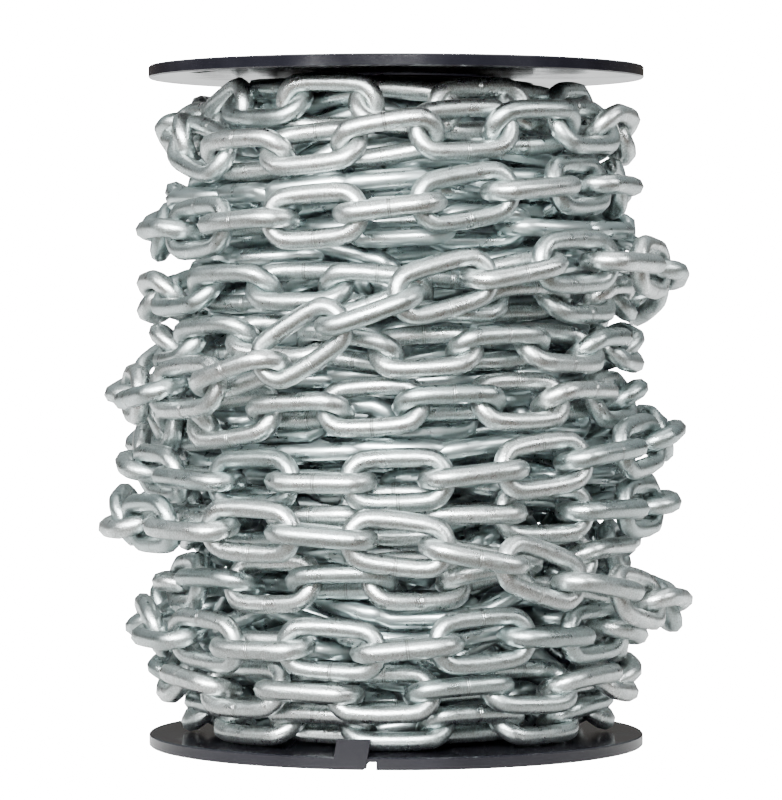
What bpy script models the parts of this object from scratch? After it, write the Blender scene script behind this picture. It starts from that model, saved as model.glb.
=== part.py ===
"""A reel of welded steel link chain that stands upright on its lower flange.

One long chain is wound round a plastic reel: first in turns that climb the barrel, then in
looser turns that lie over them on the way down. The outer turns are modelled link by link and
the hidden windings beneath them are one plain core. Metres, +Z up. The origin is on the reel's
axis, at the floor.
"""

import math
from collections import namedtuple

import bpy
import numpy as np
from mathutils import Matrix

# Chain
WIRE = 0.006
LINK_LENGTH = 0.036
LINK_WIDTH = 0.0204
PITCH = 0.0246

# The plain links of the solid: their wire's outline, as its reach outwards and to one side.
# It has three corners in the inner turns and four in the outer ones, which show more.
LINK_CORNER_RADIUS = 0.0074
INNER_WIRE = ((0.0021, 0.0027), (0.0021, -0.0027), (-0.0028, 0.0))
OUTER_WIRE = ((0.0024, 0.0025), (0.0024, -0.0025), (-0.0028, -0.0014), (-0.0028, 0.0014))

# Reel
FLANGE_RADIUS = 0.0825
FLANGE_THICKNESS = 0.004
REEL_HEIGHT = 0.226
BARREL_RADIUS = 0.035
BARREL_WALL = 0.0025
SPINDLE_RADIUS = 0.0275
RIM_BEVEL = 0.0004
NOTCH_AZIMUTH = -5.9
NOTCH_WIDTH = 0.0042
NOTCH_DEPTH = 0.024
NOTCH_HEIGHT = 0.0026
TAB_AZIMUTH = -10.5
TAB_SIZE = (0.0108, 0.0022, 0.0092)
TAB_PROUD = 0.0003
TAB_FOOT = 0.0005

# Hidden windings, as (height, radius) points of the core's side
CORE_SIDE = (
    (0.0043, 0.0530),
    (0.0200, 0.0530),
    (0.0240, 0.0585),
    (0.0920, 0.0585),
    (0.0950, 0.0690),
    (0.1040, 0.0690),
    (0.1080, 0.0600),
    (0.1580, 0.0600),
    (0.1620, 0.0670),
    (0.1740, 0.0670),
    (0.1780, 0.0600),
    (0.2000, 0.0585),
    (0.2040, 0.0530),
    (0.2217, 0.0530),
)

# Gaps and spacing
GAP = 0.0003
WIRE_SPACING = WIRE + 0.0010
WALL_SPACING = 0.5 * WIRE + 0.0008
LARGEST_RADIUS = 0.1000
LOOSENESS = 0.0015
SPACING_PASSES = 300
HOLDING_PASSES = 130
HOLD = 0.04
NEIGHBOUR_REACH = 0.045
SURE_STEP = 0.8
CROWDED_STEP = 1.6
LARGEST_TURN = 0.1

# The route is a line of points, half a degree apart, with its bends smoothed over 22 degrees
ROUTE_STEP = 0.5
SMOOTHING = 45

# Sides of the round pieces
LINK_SIDES = 8
FLANGE_SIDES = 64
ROUND_SIDES = 32
CUTTER_REACH = 0.002

# Each turn's place, seen from the front: heights and radii in millimetres at five azimuths in
# degrees, with 0 facing the viewer and 90 to the right, then the height and radius at the back
# on the way to the next turn. One link's azimuth and roll fix where all of its links fall. A
# link with roll 0 lies flat on the reel, one with roll 90 stands on edge, and one with roll 45
# has its upper side out.
FRONT_AZIMUTHS = (-90, -45, 0, 45, 90)
BACK_AZIMUTH = 180
Turn = namedtuple("Turn", "name heights radii back_height back_radius link_azimuth roll")
TURNS = (
    Turn("inner_turn_1", (13, 13, 13, 14, 14), (64, 64, 64, 64, 66), 18, 69, 0, 135),
    Turn("inner_turn_2", (23, 22, 24, 24, 23), (76, 76, 75, 75, 75), 38, 71, -22, 65),
    Turn("inner_turn_3", (57, 58, 60, 65, 66), (73, 74, 74, 74, 74), 64, 68, -13, 65),
    Turn("inner_turn_4", (72, 78, 80, 81, 80), (69, 68, 69, 83, 88), 90, 74, 20, 90),
    Turn("inner_turn_5", (107, 109, 117, 117, 117), (75, 76, 77, 77, 76), 117, 71, -23, 65),
    Turn("inner_turn_6", (133, 136, 133, 132, 131), (74, 76, 76, 76, 75), 140, 71, 25, 45),
    Turn("inner_turn_7", (149, 151, 152, 149, 146), (79, 78, 75, 74, 75), 172, 76, -42, 45),
    Turn("inner_turn_8", (207, 208, 209, 210, 209), (64, 63, 63, 63, 65), 207, 69, -17, 45),
    Turn("inner_turn_9", (199, 199, 201, 203, 204), (66, 73, 76, 75, 70), 192, 84, -1, 45),
    Turn("outer_turn_1", (169, 172, 177, 188, 191), (79, 81, 82, 80, 72), 156, 89, -1, 90),
    Turn("outer_turn_2", (112, 118, 149, 162, 158), (89, 88, 87, 87, 89), 129, 89, -5, 90),
    Turn("outer_turn_3", (93, 90, 90, 98, 104), (84, 82, 83, 85, 88), 101, 89, 1, 0),
    Turn("outer_turn_4", (74, 78, 74, 54, 43), (91, 90, 88, 88, 90), 52, 89, 0, 0),
    Turn("outer_turn_5", (41, 38, 35, 43, 36), (83, 81, 81, 81, 77), 36, 88, 3, 90),
)
LAST_LINK_AZIMUTH = 150.0

CHAIN_STEEL = ((0.62, 0.64, 0.65, 1.0), 0.32, 1.0)
CORE_STEEL = ((0.30, 0.32, 0.33, 1.0), 0.50, 1.0)
BLACK_PLASTIC = ((0.015, 0.015, 0.017, 1.0), 0.15, 0.0)

BEND_RADIUS = 0.5 * (LINK_WIDTH - WIRE)
HALF_STRAIGHT = 0.5 * (LINK_LENGTH - LINK_WIDTH)
MILLIMETRE = 0.001


def chain_route():
    """The whole route: the unwrapped azimuths of its points, the points and the known links.

    The back of each turn is made a little wider or tighter, so that a whole number of links
    fits between the known link of one turn and that of the next.
    """
    stations, heights, radii = [], [], []
    for number, turn in enumerate(TURNS):
        stations += [360 * number + azimuth for azimuth in (*FRONT_AZIMUTHS, BACK_AZIMUTH)]
        heights += [*turn.heights, turn.back_height]
        radii += [*turn.radii, turn.back_radius]
    azimuths = np.arange(-180.0, 360.0 * len(TURNS) - 180.0, ROUTE_STEP)
    window = np.hanning(2 * SMOOTHING + 1)
    window /= window.sum()

    def smoothed(values):
        padded = np.pad(np.interp(azimuths, stations, values), SMOOTHING, mode="edge")
        return np.convolve(padded, window, "valid") * MILLIMETRE

    height, radius = smoothed(heights), smoothed(radii)
    known = [360 * number + turn.link_azimuth for number, turn in enumerate(TURNS)]
    for first, second in zip(known[:-1], known[1:]):
        inside = (azimuths >= first) & (azimuths <= second)
        back = 180.0 * (np.floor((first + 90.0) / 360.0) * 2 + 1)
        bump = np.where(np.abs(azimuths - back) < 90, np.cos(np.radians(azimuths - back)) ** 2, 0)
        length = lengths_along(on_reel(azimuths, radius, height)[inside])[-1]
        missing = round(length / PITCH) * PITCH - length
        radius = radius + bump * missing / (np.radians(ROUTE_STEP) * bump.sum())
    return azimuths, on_reel(azimuths, radius, height), known


def on_reel(azimuths, radius, height):
    """Points at azimuths about the reel's axis, which start at the viewer's side."""
    turned = np.radians(azimuths)
    return np.stack([radius * np.sin(turned), -radius * np.cos(turned), height], axis=1)


def lengths_along(points):
    """Length along a line of points, up to each of them."""
    steps = np.linalg.norm(np.diff(points, axis=0), axis=1)
    return np.concatenate([[0.0], np.cumsum(steps)])


def place_links():
    """Every link where the route puts it: centres, axes and the number of its turn.

    A link's axes are its length, its width and the line square to both.
    """
    azimuths, points, known = chain_route()
    lengths = lengths_along(points)
    known_lengths = np.interp(known, azimuths, lengths)
    counts = np.round(np.diff(known_lengths) / PITCH).astype(int)
    first = -int((known_lengths[0] - lengths[0]) / PITCH - 0.5)
    end = np.interp(360 * (len(TURNS) - 1) + LAST_LINK_AZIMUTH, azimuths, lengths)
    last = counts.sum() + int((end - known_lengths[-1]) / PITCH)
    numbers = np.arange(first, last + 1)
    known_numbers = np.concatenate([[0], np.cumsum(counts)])

    def at(number):
        """Length along the route of a link number, or of a joint at a half number."""
        inner = np.interp(number, known_numbers, known_lengths)
        before = np.minimum(number - known_numbers[0], 0) * PITCH
        after = np.maximum(number - known_numbers[-1], 0) * PITCH
        return inner + before + after

    def point(number):
        return np.stack([np.interp(at(number), lengths, points[:, k]) for k in range(3)], axis=1)

    starts, ends = point(numbers - 0.5), point(numbers + 0.5)
    rolls = np.array([turn.roll for turn in TURNS], float)
    twists = rolls[1:] - rolls[:-1] - 90.0 * counts
    twists = (twists + 90.0) % 180.0 - 90.0
    rolls = rolls[0] + np.concatenate([[0.0], np.cumsum(twists)])
    roll = np.radians(np.interp(numbers, known_numbers, rolls) + 90.0 * numbers)

    centres = 0.5 * (starts + ends)
    along = unit(ends - starts)
    outward = centres * np.array([1.0, 1.0, 0.0])
    outward = unit(outward - along * (outward * along).sum(axis=1, keepdims=True))
    upward = np.cross(outward, along)
    upward *= np.sign(upward[:, 2:3])
    width = np.cos(roll)[:, None] * upward + np.sin(roll)[:, None] * outward
    axes = np.stack([along, width, np.cross(along, width)], axis=2)
    azimuth = np.interp(at(numbers), lengths, azimuths)
    return centres, axes, np.floor((azimuth + 180.0) / 360.0).astype(int)


def unit(vectors):
    return vectors / np.linalg.norm(vectors, axis=-1, keepdims=True)


def link_centreline():
    """Corner points of a link's wire, as a closed outline with its long sides in two steps."""
    bend = [
        (HALF_STRAIGHT + BEND_RADIUS * math.cos(turn), BEND_RADIUS * math.sin(turn))
        for turn in np.radians((-90, -45, 0, 45, 90))
    ]
    outline = [*bend, (0.0, BEND_RADIUS)]
    outline += [(-x, -y) for x, y in bend] + [(0.0, -BEND_RADIUS)]
    return np.array([(x, y, 0.0) for x, y in outline])


def nearest_points(start_a, span_a, start_b, span_b):
    """Shares along two sets of straight wires at which each pair comes closest."""
    aa = (span_a * span_a).sum(axis=1)
    bb = (span_b * span_b).sum(axis=1)
    ab = (span_a * span_b).sum(axis=1)
    apart = start_a - start_b
    ad = (span_a * apart).sum(axis=1)
    bd = (span_b * apart).sum(axis=1)
    square = np.maximum(aa * bb - ab * ab, 1e-16)
    share_a = np.clip((ab * bd - bb * ad) / square, 0.0, 1.0)
    share_b = np.clip((ab * share_a + bd) / bb, 0.0, 1.0)
    share_a = np.clip((ab * share_b - ad) / aa, 0.0, 1.0)
    return share_a, share_b


def core_radius(height):
    """Radius of the hidden windings at a height."""
    heights, radii = zip(*CORE_SIDE)
    return np.interp(height, heights, radii)


class Spacing:
    """Moves whole links apart until no two wires touch, and keeps them on the reel."""

    def __init__(self, centres, axes, turns):
        self.centres, self.axes, self.turns = centres.copy(), axes.copy(), turns
        self.start_centres, self.start_axes = centres.copy(), axes.copy()
        self.outline = link_centreline()
        self.turning = 0.5 * (0.5 * LINK_LENGTH) ** 2
        self.clear()

    def clear(self):
        count = len(self.centres)
        self.shift = np.zeros((count, 3))
        self.turn = np.zeros((count, 3))
        self.hits = np.zeros(count)

    def corners(self):
        return self.centres[:, None] + np.einsum("nij,pj->npi", self.axes, self.outline)

    def push(self, links, points, direction, amount, share):
        """Adds a push on each link at a point, as a shift and a small turn."""
        arm = points - self.centres[links]
        twist = np.cross(arm, direction)
        amount = (amount * share)[:, None]
        np.add.at(self.shift, links, amount * direction)
        np.add.at(self.turn, links, amount * twist / self.turning)
        np.add.at(self.hits, links, 1.0)

    def ease(self, links, points, direction):
        """How readily a push at a point moves each link there."""
        twist = np.cross(points - self.centres[links], direction)
        return 1.0 + (twist * twist).sum(axis=1) / self.turning

    def part_pair(self, a, b, point_a, point_b, direction, amount):
        """Pushes links a and b apart, or together, at a point of each."""
        ease_a, ease_b = self.ease(a, point_a, direction), self.ease(b, point_b, direction)
        self.push(a, point_a, direction, amount, 1.0 / (ease_a + ease_b))
        self.push(b, point_b, direction, -amount, 1.0 / (ease_a + ease_b))

    def find_neighbours(self):
        count = len(self.centres)
        first, second = np.triu_indices(count, 1)
        near = np.linalg.norm(self.centres[first] - self.centres[second], axis=1) < NEIGHBOUR_REACH
        fused = (second - first == 1) & (self.turns[first] == self.turns[second])
        self.first, self.second = first[near & ~fused], second[near & ~fused]

    def part_wires(self):
        """Pushes apart each two wires that are closer than their spacing."""
        corners = self.corners()
        spans = np.roll(corners, -1, axis=1) - corners
        middles = corners + 0.5 * spans
        halves = 0.5 * np.linalg.norm(spans, axis=2)
        a, b = self.first, self.second
        apart = np.linalg.norm(middles[a][:, :, None] - middles[b][:, None], axis=3)
        reach = halves[a][:, :, None] + halves[b][:, None] + WIRE_SPACING
        pair, side_a, side_b = np.nonzero(apart < reach)
        a, b = a[pair], b[pair]
        start_a, span_a = corners[a, side_a], spans[a, side_a]
        start_b, span_b = corners[b, side_b], spans[b, side_b]
        share_a, share_b = nearest_points(start_a, span_a, start_b, span_b)
        point_a = start_a + share_a[:, None] * span_a
        point_b = start_b + share_b[:, None] * span_b
        gap = point_a - point_b
        distance = np.linalg.norm(gap, axis=1)
        close = distance < WIRE_SPACING
        direction = gap[close] / np.maximum(distance[close], 1e-9)[:, None]
        amount = WIRE_SPACING - distance[close]
        self.part_pair(a[close], b[close], point_a[close], point_b[close], direction, amount)

    def join_neighbours(self):
        """Keeps the bend of each link in the bend of the next."""
        a = np.arange(len(self.centres) - 1)
        b = a + 1
        fused = self.turns[a] == self.turns[b]
        reach = np.where(fused, 0.5 * PITCH, 0.5 * (LINK_LENGTH - WIRE) - 0.5 * WIRE_SPACING)
        end_a = self.centres[a] + self.axes[a, :, 0] * reach[:, None]
        end_b = self.centres[b] - self.axes[b, :, 0] * reach[:, None]
        gap = end_b - end_a
        distance = np.linalg.norm(gap, axis=1)
        direction = gap / np.maximum(distance, 1e-9)[:, None]
        amount = np.where(fused, distance, np.maximum(distance - LOOSENESS, 0.0))
        self.part_pair(a, b, end_a, end_b, direction, amount)

    def keep_on_reel(self):
        """Pushes links out of the hidden windings and the flanges, and in at the outside."""
        corners = self.corners()
        radial = np.linalg.norm(corners[:, :, :2], axis=2)
        outward = np.concatenate([corners[:, :, :2], np.zeros_like(radial)[:, :, None]], axis=2)
        outward /= radial[:, :, None]
        upward = np.zeros_like(outward)
        upward[:, :, 2] = 1.0
        height = corners[:, :, 2]
        lifts = (-0.5 * WIRE, 0.0, 0.5 * WIRE)
        inside = np.maximum.reduce([core_radius(height + lift) for lift in lifts])
        walls = (
            (outward, inside + WALL_SPACING - radial),
            (-outward, radial + 0.5 * WIRE - LARGEST_RADIUS),
            (upward, FLANGE_THICKNESS + WALL_SPACING - height),
            (-upward, height - REEL_HEIGHT + FLANGE_THICKNESS + WALL_SPACING),
        )
        for direction, depth in walls:
            link, corner = np.nonzero(depth > 0)
            points, direction = corners[link, corner], direction[link, corner]
            share = 1.0 / self.ease(link, points, direction)
            self.push(link, points, direction, depth[link, corner], share)

    def move(self, hold):
        """Moves the links as they were pushed, and back towards their first places by a share."""
        hits = np.maximum(self.hits, 1.0)[:, None]
        ease = np.minimum(CROWDED_STEP / np.sqrt(hits), SURE_STEP)
        self.centres += self.shift * ease + hold * (self.start_centres - self.centres)
        lean = np.cross(self.axes, self.start_axes, axisa=1, axisb=1, axisc=1).sum(axis=2)
        turn = self.turn * ease + 0.5 * hold * lean
        angle = np.linalg.norm(turn, axis=1, keepdims=True)
        turn *= np.minimum(1.0, LARGEST_TURN / np.maximum(angle, 1e-9))
        turned = self.axes + np.cross(turn[:, None], self.axes.transpose(0, 2, 1)).transpose(0, 2, 1)
        left, _, right = np.linalg.svd(turned)
        self.axes = left @ right
        self.clear()

    def run(self):
        for count in range(SPACING_PASSES):
            if count % 10 == 0:
                self.find_neighbours()
            self.part_wires()
            self.keep_on_reel()
            self.move(HOLD if count < HOLDING_PASSES else 0.0)
            self.join_neighbours()
            self.move(0.0)
        return np.round(self.centres, 5), np.round(self.axes, 4)


def material(name, colour, roughness, metallic):
    made = bpy.data.materials.new(name)
    made.use_nodes = True
    made.diffuse_color = colour
    shader = made.node_tree.nodes["Principled BSDF"]
    shader.inputs["Base Color"].default_value = colour
    shader.inputs["Roughness"].default_value = roughness
    shader.inputs["Metallic"].default_value = metallic
    return made


def mesh_object(name, mesh, collection):
    made = bpy.data.objects.new(name, mesh)
    collection.objects.link(made)
    return made


def collect(made, collection):
    """Moves a newly added object to a collection."""
    for other in made.users_collection:
        other.objects.unlink(made)
    collection.objects.link(made)
    return made


def link_mesh(wire):
    """One plain link: an eight-sided ring of a plain wire, drawn out to its length."""
    outline = [(LINK_CORNER_RADIUS + reach, side) for reach, side in wire]
    ring = turned_ring("link", outline, LINK_SIDES, None, bpy.context.scene.collection)
    graph = bpy.context.evaluated_depsgraph_get()
    mesh = bpy.data.meshes.new_from_object(ring.evaluated_get(graph))
    bpy.data.objects.remove(ring)
    mesh.transform(Matrix.Rotation(math.pi / LINK_SIDES, 4, "Z"))
    for vertex in mesh.vertices:
        vertex.co.x += math.copysign(HALF_STRAIGHT, vertex.co.x)
    return mesh


def joined_links(name, link, centres, axes, collection):
    """Links that don't touch each other, as one object."""
    count = len(link.vertices)
    points = np.empty(count * 3)
    link.vertices.foreach_get("co", points)
    points = points.reshape(-1, 3)
    placed = centres[:, None] + np.einsum("nij,pj->npi", axes, points)
    faces = [
        [number * count + corner for corner in face.vertices]
        for number in range(len(centres))
        for face in link.polygons
    ]
    mesh = bpy.data.meshes.new(name)
    mesh.from_pydata(placed.reshape(-1, 3).tolist(), [], faces)
    return mesh_object(name, mesh, collection)


def chain_turn(name, link, centres, axes, steel, parts, cutters):
    """One turn of chain: its even links, united with the odd links that hang in them."""
    made = joined_links(name, link, centres[::2], axes[::2], parts)
    others = joined_links(name + "_between", link, centres[1::2], axes[1::2], cutters)
    others.hide_render = True
    others.display_type = "WIRE"
    unite = made.modifiers.new("unite", "BOOLEAN")
    unite.operation = "UNION"
    unite.object = others
    made.data.materials.append(steel)


def add_cylinder(name, radius, bottom, top, sides, collection):
    bpy.ops.mesh.primitive_cylinder_add(
        vertices=sides, radius=radius, depth=top - bottom, location=(0, 0, 0.5 * (bottom + top))
    )
    made = bpy.context.object
    made.name = name
    return collect(made, collection)


def cut(target, cutter):
    cutter.hide_render = True
    cutter.display_type = "WIRE"
    modifier = target.modifiers.new("cut_" + cutter.name, "BOOLEAN")
    modifier.operation = "DIFFERENCE"
    modifier.object = cutter
    return modifier


def add_box(name, azimuth, radius, bottom, size, collection):
    """A box at the rim, turned to its azimuth, with its outer face at the radius."""
    turned = math.radians(azimuth)
    middle = radius - 0.5 * size[1]
    bpy.ops.mesh.primitive_cube_add(size=1, rotation=(0, 0, turned))
    made = bpy.context.object
    made.name = name
    made.scale = size
    made.location = (
        middle * math.sin(turned), -middle * math.cos(turned), bottom + 0.5 * size[2]
    )
    bpy.ops.object.transform_apply(location=False, rotation=False, scale=True)
    return collect(made, collection)


def flange(name, bottom, plastic, parts, cutters):
    """A round plate with softened rims and a bore for the spindle."""
    top = bottom + FLANGE_THICKNESS
    made = add_cylinder(name, FLANGE_RADIUS, bottom, top, FLANGE_SIDES, parts)
    rim = made.modifiers.new("rim", "BEVEL")
    rim.width = RIM_BEVEL
    rim.limit_method = "ANGLE"
    low, high = bottom - CUTTER_REACH, top + CUTTER_REACH
    bore = add_cylinder(name + "_bore", SPINDLE_RADIUS, low, high, ROUND_SIDES, cutters)
    cut(made, bore)
    made.data.materials.append(plastic)
    return made


def lower_flange(plastic, parts, cutters):
    """The flange that the reel stands on, with a small tab and a groove below its front rim."""
    made = flange("reel_flange_bottom", 0.0, plastic, parts, cutters)
    size = (NOTCH_WIDTH, NOTCH_DEPTH + CUTTER_REACH, NOTCH_HEIGHT + CUTTER_REACH)
    radius = FLANGE_RADIUS + CUTTER_REACH
    cut(made, add_box("notch", NOTCH_AZIMUTH, radius, -CUTTER_REACH, size, cutters))
    radius = FLANGE_RADIUS + TAB_PROUD
    tab = add_box("tab", TAB_AZIMUTH, radius, TAB_FOOT, TAB_SIZE, cutters)
    cut(made, tab).operation = "UNION"


def barrel(plastic, parts):
    """The tube between the flanges: a profile turned about the axis."""
    bottom, top = FLANGE_THICKNESS + GAP, REEL_HEIGHT - FLANGE_THICKNESS - GAP
    inner = BARREL_RADIUS - BARREL_WALL
    outline = [(BARREL_RADIUS, top), (BARREL_RADIUS, bottom), (inner, bottom), (inner, top)]
    turned_ring("reel_barrel", outline, ROUND_SIDES, plastic, parts)


def chain_core(steel, parts):
    """The hidden windings between the barrel and the modelled turns, as one turned solid."""
    inner = BARREL_RADIUS + GAP
    bottom, top = CORE_SIDE[0][0], CORE_SIDE[-1][0]
    outline = [(radius, height) for height, radius in reversed(CORE_SIDE)]
    outline += [(inner, bottom), (inner, top)]
    turned_ring("chain_core", outline, ROUND_SIDES, steel, parts)


def turned_ring(name, outline, steps, finish, parts):
    """A closed (radius, height) outline, which runs down its outer side, turned about +Z."""
    mesh = bpy.data.meshes.new(name)
    count = len(outline)
    edges = [(number, (number + 1) % count) for number in range(count)]
    mesh.from_pydata([(radius, 0, height) for radius, height in outline], edges, [])
    made = mesh_object(name, mesh, parts)
    screw = made.modifiers.new("turned", "SCREW")
    screw.axis = "Z"
    screw.steps = screw.render_steps = steps
    screw.use_merge_vertices = True
    screw.merge_threshold = 0.00001
    screw.use_smooth_shade = True
    if finish:
        made.data.materials.append(finish)
    return made


def main():
    for old in list(bpy.data.objects):
        bpy.data.objects.remove(old)
    parts = bpy.data.collections.new("chain_reel")
    cutters = bpy.data.collections.new("cutters")
    for collection in (parts, cutters):
        bpy.context.scene.collection.children.link(collection)
    plastic = material("black_plastic", *BLACK_PLASTIC)
    steel = material("zinc_plated_steel", *CHAIN_STEEL)
    core_steel = material("hidden_windings", *CORE_STEEL)

    lower_flange(plastic, parts, cutters)
    top = REEL_HEIGHT - FLANGE_THICKNESS
    flange("reel_flange_top", top, plastic, parts, cutters)
    barrel(plastic, parts)
    chain_core(core_steel, parts)

    centres, axes, turns = place_links()
    centres, axes = Spacing(centres, axes, turns).run()
    inner, outer = link_mesh(INNER_WIRE), link_mesh(OUTER_WIRE)
    for number, turn in enumerate(TURNS):
        mine = turns == number
        link = outer if turn.name.startswith("outer") else inner
        chain_turn(turn.name, link, centres[mine], axes[mine], steel, parts, cutters)


main()
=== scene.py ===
"""The looks of a reel of welded steel link chain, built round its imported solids.

Every link that shows is modelled where the solid of its turn has it, in round wire with a weld
mark. The hidden windings are links as well, round a turned core with one ridge for each wire.
The reel's flanges and barrel are turned. Metres, +Z up. The camera stands on the -Y side.
"""

import math
from collections import namedtuple
from functools import lru_cache

import bpy
import numpy as np
from bpy.props import FloatProperty, FloatVectorProperty, PointerProperty
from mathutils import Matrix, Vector


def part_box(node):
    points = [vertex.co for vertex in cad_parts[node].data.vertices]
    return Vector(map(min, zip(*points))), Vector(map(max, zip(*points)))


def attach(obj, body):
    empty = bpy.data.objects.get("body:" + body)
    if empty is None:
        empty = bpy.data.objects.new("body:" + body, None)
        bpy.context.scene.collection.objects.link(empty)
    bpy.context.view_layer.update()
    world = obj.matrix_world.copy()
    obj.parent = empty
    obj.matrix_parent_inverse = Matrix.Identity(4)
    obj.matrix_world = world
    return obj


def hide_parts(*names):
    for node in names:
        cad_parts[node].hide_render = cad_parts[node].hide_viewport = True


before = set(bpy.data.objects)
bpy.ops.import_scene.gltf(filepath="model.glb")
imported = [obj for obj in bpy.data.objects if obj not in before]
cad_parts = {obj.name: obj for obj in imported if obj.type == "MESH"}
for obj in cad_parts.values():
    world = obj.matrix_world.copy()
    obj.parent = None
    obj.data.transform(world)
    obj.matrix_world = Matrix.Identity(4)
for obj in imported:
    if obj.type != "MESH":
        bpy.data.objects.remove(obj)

bl_info = {
    "name": "Chain reel",
    "version": (1, 0, 0),
    "blender": (4, 5, 0),
    "location": "3D View > Sidebar > Chain reel",
    "description": "Dresses the solids of a reel of steel chain",
    "category": "Object",
}

# Chain
WIRE = 0.006
LINK_LENGTH = 0.036
LINK_WIDTH = 0.0204
PITCH = 0.0246

# The modelled link. Its sides are drawn out, so that its bends just touch those of its
# neighbours. Its weld is two rings, WELD_BAND to each side of the middle of one long side,
# which fade out and are full at the distances of WELD_RING from their own middle.
ROUND_WIRE = 0.0064
DRAWN_OUT = 0.0004
LINK_BENDS = 16
LINK_SIDES = 4
PLAIN_BENDS = 12
PLAIN_SIDES = 6
WELD_BAND = 0.0005
WELD_RING = (0.00035, 0.0001)
FAR_FROM_WELD = 1.0

# How dull links may be and how much grain they have, seen and hidden
LINK_LOOKS_SEED = 11
DULLEST_SEEN = 1.0
DULLEST_HIDDEN = 0.6
GRAIN_SEEN = 1.0
GRAIN_HIDDEN = 0.2

# Reel
FLANGE_RADIUS = 0.0825
FLANGE_THICKNESS = 0.004
REEL_HEIGHT = 0.226
BARREL_RADIUS = 0.035
BARREL_WALL = 0.0025
SPINDLE_RADIUS = 0.0275
RIM_BEVEL = 0.0004
NOTCH_AZIMUTH = -5.9
NOTCH_WIDTH = 0.0042
NOTCH_DEPTH = 0.024
NOTCH_HEIGHT = 0.0026
TAB_AZIMUTH = -10.5
TAB_SIZE = (0.0108, 0.0022, 0.0092)
TAB_PROUD = 0.0003
TAB_FOOT = 0.0005
TAB_LEAN = 0.0016
SLOT_AZIMUTH = -55.0
SLOT_RADIUS = 0.0785
SLOT_SIZE = (0.011, 0.004, 0.008)
RECESS_DEPTH = 0.0005
RECESS_RADII = (0.0405, 0.0775)
TURNED_STEPS = 128
SHARP_EDGE = 30
MERGED_POINTS = 0.00001

# The hidden chain: its height and radius in millimetres after each turn, up the reel.
# The outer ones of its links are drawn outwards, until they meet the visible ones.
HIDDEN_ROWS = (
    (11, 50), (22, 58), (33, 63), (43, 66), (54, 62), (65, 60), (76, 58), (88, 62), (100, 67),
    (112, 62), (124, 60), (136, 60), (148, 60), (159, 64), (170, 66), (181, 66), (192, 60),
    (203, 54), (212, 50),
)
HIDDEN_PASSES = 170
HIDDEN_HOLDING = 60
HIDDEN_ROLL = 45.0
DRAWN_RADII = (0.0500, 0.0740)
DRAW = 0.00015
DRAWN_SHARE = 0.8

# The innermost windings, one ridge for each wire
CORE_RADIUS = 0.0470
CORE_RIDGE = 0.0015
CORE_PITCH = 0.0090
CORE_STEPS = 4

# Scales of the grain and of its clouds, in waves to a metre
SCALE_NAMES = ("Fine Scale", "Cloud Scale")
ZINC_SCALES = (2000.0, 210.0)
PLASTIC_SCALES = (900.0, 45.0)
SPECKLE_ENDS = (0.42, 0.60)
CLOUD_ENDS = (0.35, 0.65)
CLOUD_HEIGHT = 0.35

# How far clouds, pits and welds change the zinc, and how deep its grain is
CLOUDS_DULL = 0.45
CLOUDS_ROUGHEN = 0.12
PITS_DARKEN = 0.5
WELDS_DARKEN = 0.7
WELDS_SINK = 1.2
ZINC_DEPTH = 0.0002

# How far dust changes the plastic, and its grain's strength and depth
DUST_SHARE = 0.6
DUST_ROUGHENS = 0.1
PLASTIC_GRAIN = 0.15
PLASTIC_DEPTH = 0.00008

# The studio's room: its colours from the horizon up, and the heights of the middle two. Its
# brightness grows from front to back.
ROOM_HEIGHTS = (0.15, 0.4)
ROOM_DEPTHS = (-0.3, 0.6)
ROOM_FRONT = 0.4
ROOM_COLOURS = (
    (0.09, 0.07, 0.055, 1), (0.15, 0.15, 0.146, 1), (0.37, 0.43, 0.44, 1), (0.60, 0.67, 0.68, 1)
)

# The soft lights' places and sizes, and the floor's size and depth
KEY_PLACE, KEY_SIZE = (-0.4, -1.5, 0.75), (1.4, 0.6)
TOP_PLACE, TOP_SIZE = (0.0, -0.1, 1.4), (1.4, 1.4)
LEFT_PLACE, RIGHT_PLACE = (-1.15, -0.75, 0.85), (1.15, -0.75, 0.85)
SIDE_SIZE = (0.6, 0.5)
FLOOR_SIZE = 60
FLOOR_DEPTH = 0.0002

# From where to where, along Y, the floor turns from dim to pale, and then begins to glow
FLOOR_PALES = (-0.15, 0.15)
FLOOR_GLOWS = (1.0, 1.5)

# What the visible links keep clear of: (height, radius) points of the hidden windings' side
CORE_SIDE = (
    (0.0043, 0.0530), (0.0200, 0.0530), (0.0240, 0.0585), (0.0920, 0.0585), (0.0950, 0.0690),
    (0.1040, 0.0690), (0.1080, 0.0600), (0.1580, 0.0600), (0.1620, 0.0670), (0.1740, 0.0670),
    (0.1780, 0.0600), (0.2000, 0.0585), (0.2040, 0.0530), (0.2217, 0.0530),
)

# Gaps and spacing
GAP = 0.0003
WIRE_SPACING = WIRE + 0.0010
WALL_SPACING = 0.5 * WIRE + 0.0008
LARGEST_RADIUS = 0.1000
LOOSENESS = 0.0015
SPACING_PASSES = 300
HOLDING_PASSES = 130
HOLD = 0.04
NEIGHBOUR_REACH = 0.045
SURE_STEP = 0.8
CROWDED_STEP = 1.6
LARGEST_TURN = 0.1
TINY = 1e-9
PLACE_DIGITS = 5
AXIS_DIGITS = 4

# The pairs of near links are found again after so many passes
NEIGHBOUR_PASSES = 10

# The route is a line of points, half a degree apart, with its bends smoothed over 22.5 degrees
# to each side
ROUTE_STEP = 0.5
SMOOTHING = 45

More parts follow.
